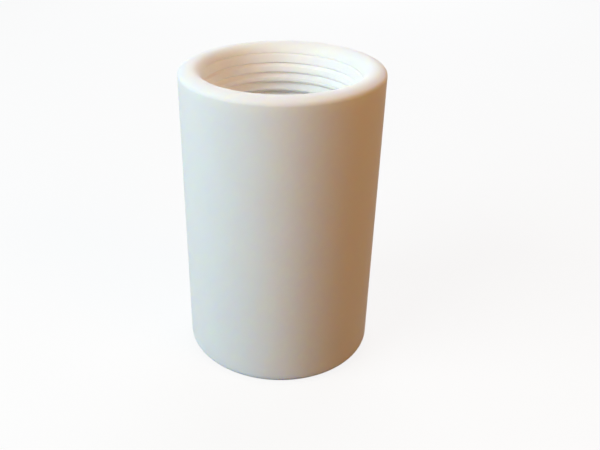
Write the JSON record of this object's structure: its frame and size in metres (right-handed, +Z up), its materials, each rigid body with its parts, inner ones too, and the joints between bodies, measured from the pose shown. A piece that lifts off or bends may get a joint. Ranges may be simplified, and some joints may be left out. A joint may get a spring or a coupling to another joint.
{
  "type": "drop pipe coupling",
  "caption": "Straight heavy-wall white PVC coupling with a taper pipe thread in each end, for joining lengths of threaded well drop pipe.",
  "frame": {"origin": "centre of the lower end face", "axes": "+Z runs up along the coupling's axis; the coupling looks the same from every side, so +X and +Y only fix where the thread starts"},
  "size_m": [0.0422, 0.0422, 0.0651],
  "materials": {
    "coupling": "white rigid PVC, extruded outside, turned and tapped ends"
  },
  "bodies": {
    "root": {"coupling": "coupling"}
  },
  "joints": []
}
